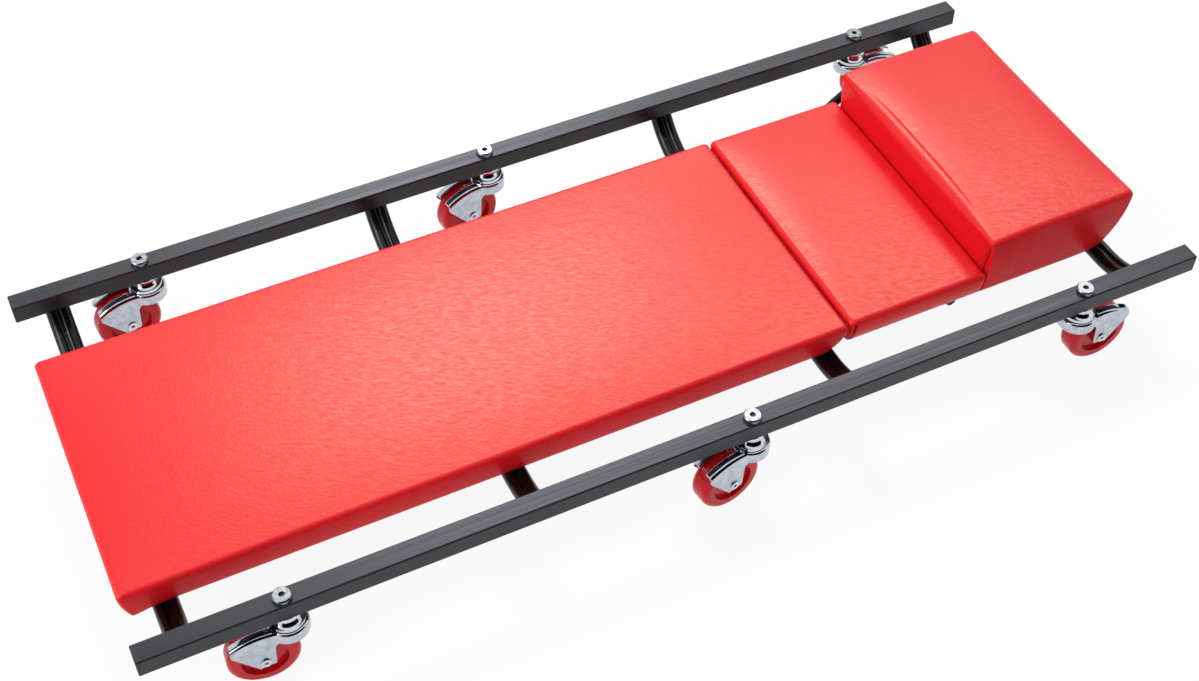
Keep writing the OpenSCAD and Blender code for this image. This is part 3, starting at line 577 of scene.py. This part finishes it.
def makeFloor(look):
    reach = look["floorSize"] / 2
    material, tree = emptyMaterial("floor_white")
    white = hexColour(look["white"])
    glowShare = addNode(tree, "ShaderNodeMath", {"operation": "MULTIPLY"}, {
        0: whiteRays(tree), 1: 1 - look["shadowShare"]})
    paint = addNode(tree, "ShaderNodeBsdfDiffuse", inputs={"Color": white})
    glow = addNode(tree, "ShaderNodeEmission", inputs={"Color": white, "Strength": 1.0})
    mix = addNode(tree, "ShaderNodeMixShader", inputs={"Fac": (glowShare, 0), 1: (paint, 0), 2: (glow, 0)})
    addNode(tree, "ShaderNodeOutputMaterial", inputs={"Surface": (mix, 0)})
    floor = addPanel(
        "floor", [(-reach, -reach, 0), (reach, -reach, 0), (reach, reach, 0), (-reach, reach, 0)], material)


makeFloor(stageLook)


def makeWorld(look):
    # white to the eye and in every reflection; as light on matt faces, a plain pale sky
    world = bpy.data.worlds.new("studio")
    scene.world = world
    world.use_nodes = True
    tree = world.node_tree
    tree.nodes.clear()
    white = hexColour(look["white"])
    soft = addNode(tree, "ShaderNodeBackground", inputs={"Color": white, "Strength": look["sky"]})
    bright = addNode(tree, "ShaderNodeBackground", inputs={"Color": white, "Strength": 1.0})
    mix = addNode(tree, "ShaderNodeMixShader", inputs={"Fac": whiteRays(tree), 1: (soft, 0), 2: (bright, 0)})
    addNode(tree, "ShaderNodeOutputWorld", inputs={"Surface": (mix, 0)})


makeWorld(stageLook)


def makeCloth(look):
    (left, right), (low, high), y = look["x"], look["z"], look["y"]
    back = y + look["lean"]
    material, tree = emptyMaterial("black_molton")
    paint = addNode(tree, "ShaderNodeBsdfDiffuse", inputs={"Color": hexColour(look["colour"])})
    addNode(tree, "ShaderNodeOutputMaterial", inputs={"Surface": (paint, 0)})
    cloth = addPanel(
        "black_cloth", [(left, y, low), (right, y, low), (right, back, high), (left, back, high)], material)
    cloth.visible_camera = cloth.visible_diffuse = False


makeCloth(clothLook)

# Three soft boxes: a key behind, one beyond the head end, and a low one at the foot end

softBoxes = {
    "back_softbox": {"place": (0.79, 2.57, 3.15), "target": (0.0, 0.0, 0.0), "size": (1.25, 1.0), "power": 62},
    "head_softbox": {"place": (2.13, 1.8, 3.15), "target": (0.3, 0.0, 0.0), "size": (1.0, 0.6), "power": 25},
    "foot_softbox": {"place": (-2.4, 0.1, 1.7), "target": (0.0, 0.0, 0.05), "size": (1.6, 1.4), "power": 39},
}


def addSoftBox(name, place, target, size, power):
    lamp = bpy.data.lights.new(name, "AREA")
    lamp.shape = "RECTANGLE"
    (lamp.size, lamp.size_y), lamp.energy = size, power
    thing = bpy.data.objects.new(name, lamp)
    scene.collection.objects.link(thing)
    thing.location = place
    thing.rotation_euler = (Vector(target) - Vector(place)).to_track_quat("-Z", "Y").to_euler()


for name, box in softBoxes.items():
    addSoftBox(name, **box)

# Camera, solved from the photograph's rails, caps and wheels

cameraPlace = {
    "lens": 52.33,
    "sensorWidth": 36,
    "clipStart": 0.02,
    "location": (-0.49565, -1.00241, 1.26779),
    "right": (0.901585, -0.432588, 0.003412),
    "down": (-0.322014, -0.676357, -0.662456),
    "forward": (0.288878, 0.596162, -0.749093),
}


def makeCamera(place):
    lens = bpy.data.cameras.new("photoCamera")
    lens.lens = place["lens"]
    lens.sensor_width = place["sensorWidth"]
    lens.clip_start = place["clipStart"]
    thing = bpy.data.objects.new("photoCamera", lens)
    scene.collection.objects.link(thing)
    columns = [place["right"], [-c for c in place["down"]], [-c for c in place["forward"]], place["location"]]
    matrix = Matrix.Identity(4)
    for column, values in enumerate(columns):
        for row in range(3):
            matrix[row][column] = values[row]
    thing.matrix_world = matrix
    scene.camera = thing


makeCamera(cameraPlace)
print("stage, lights and camera set")
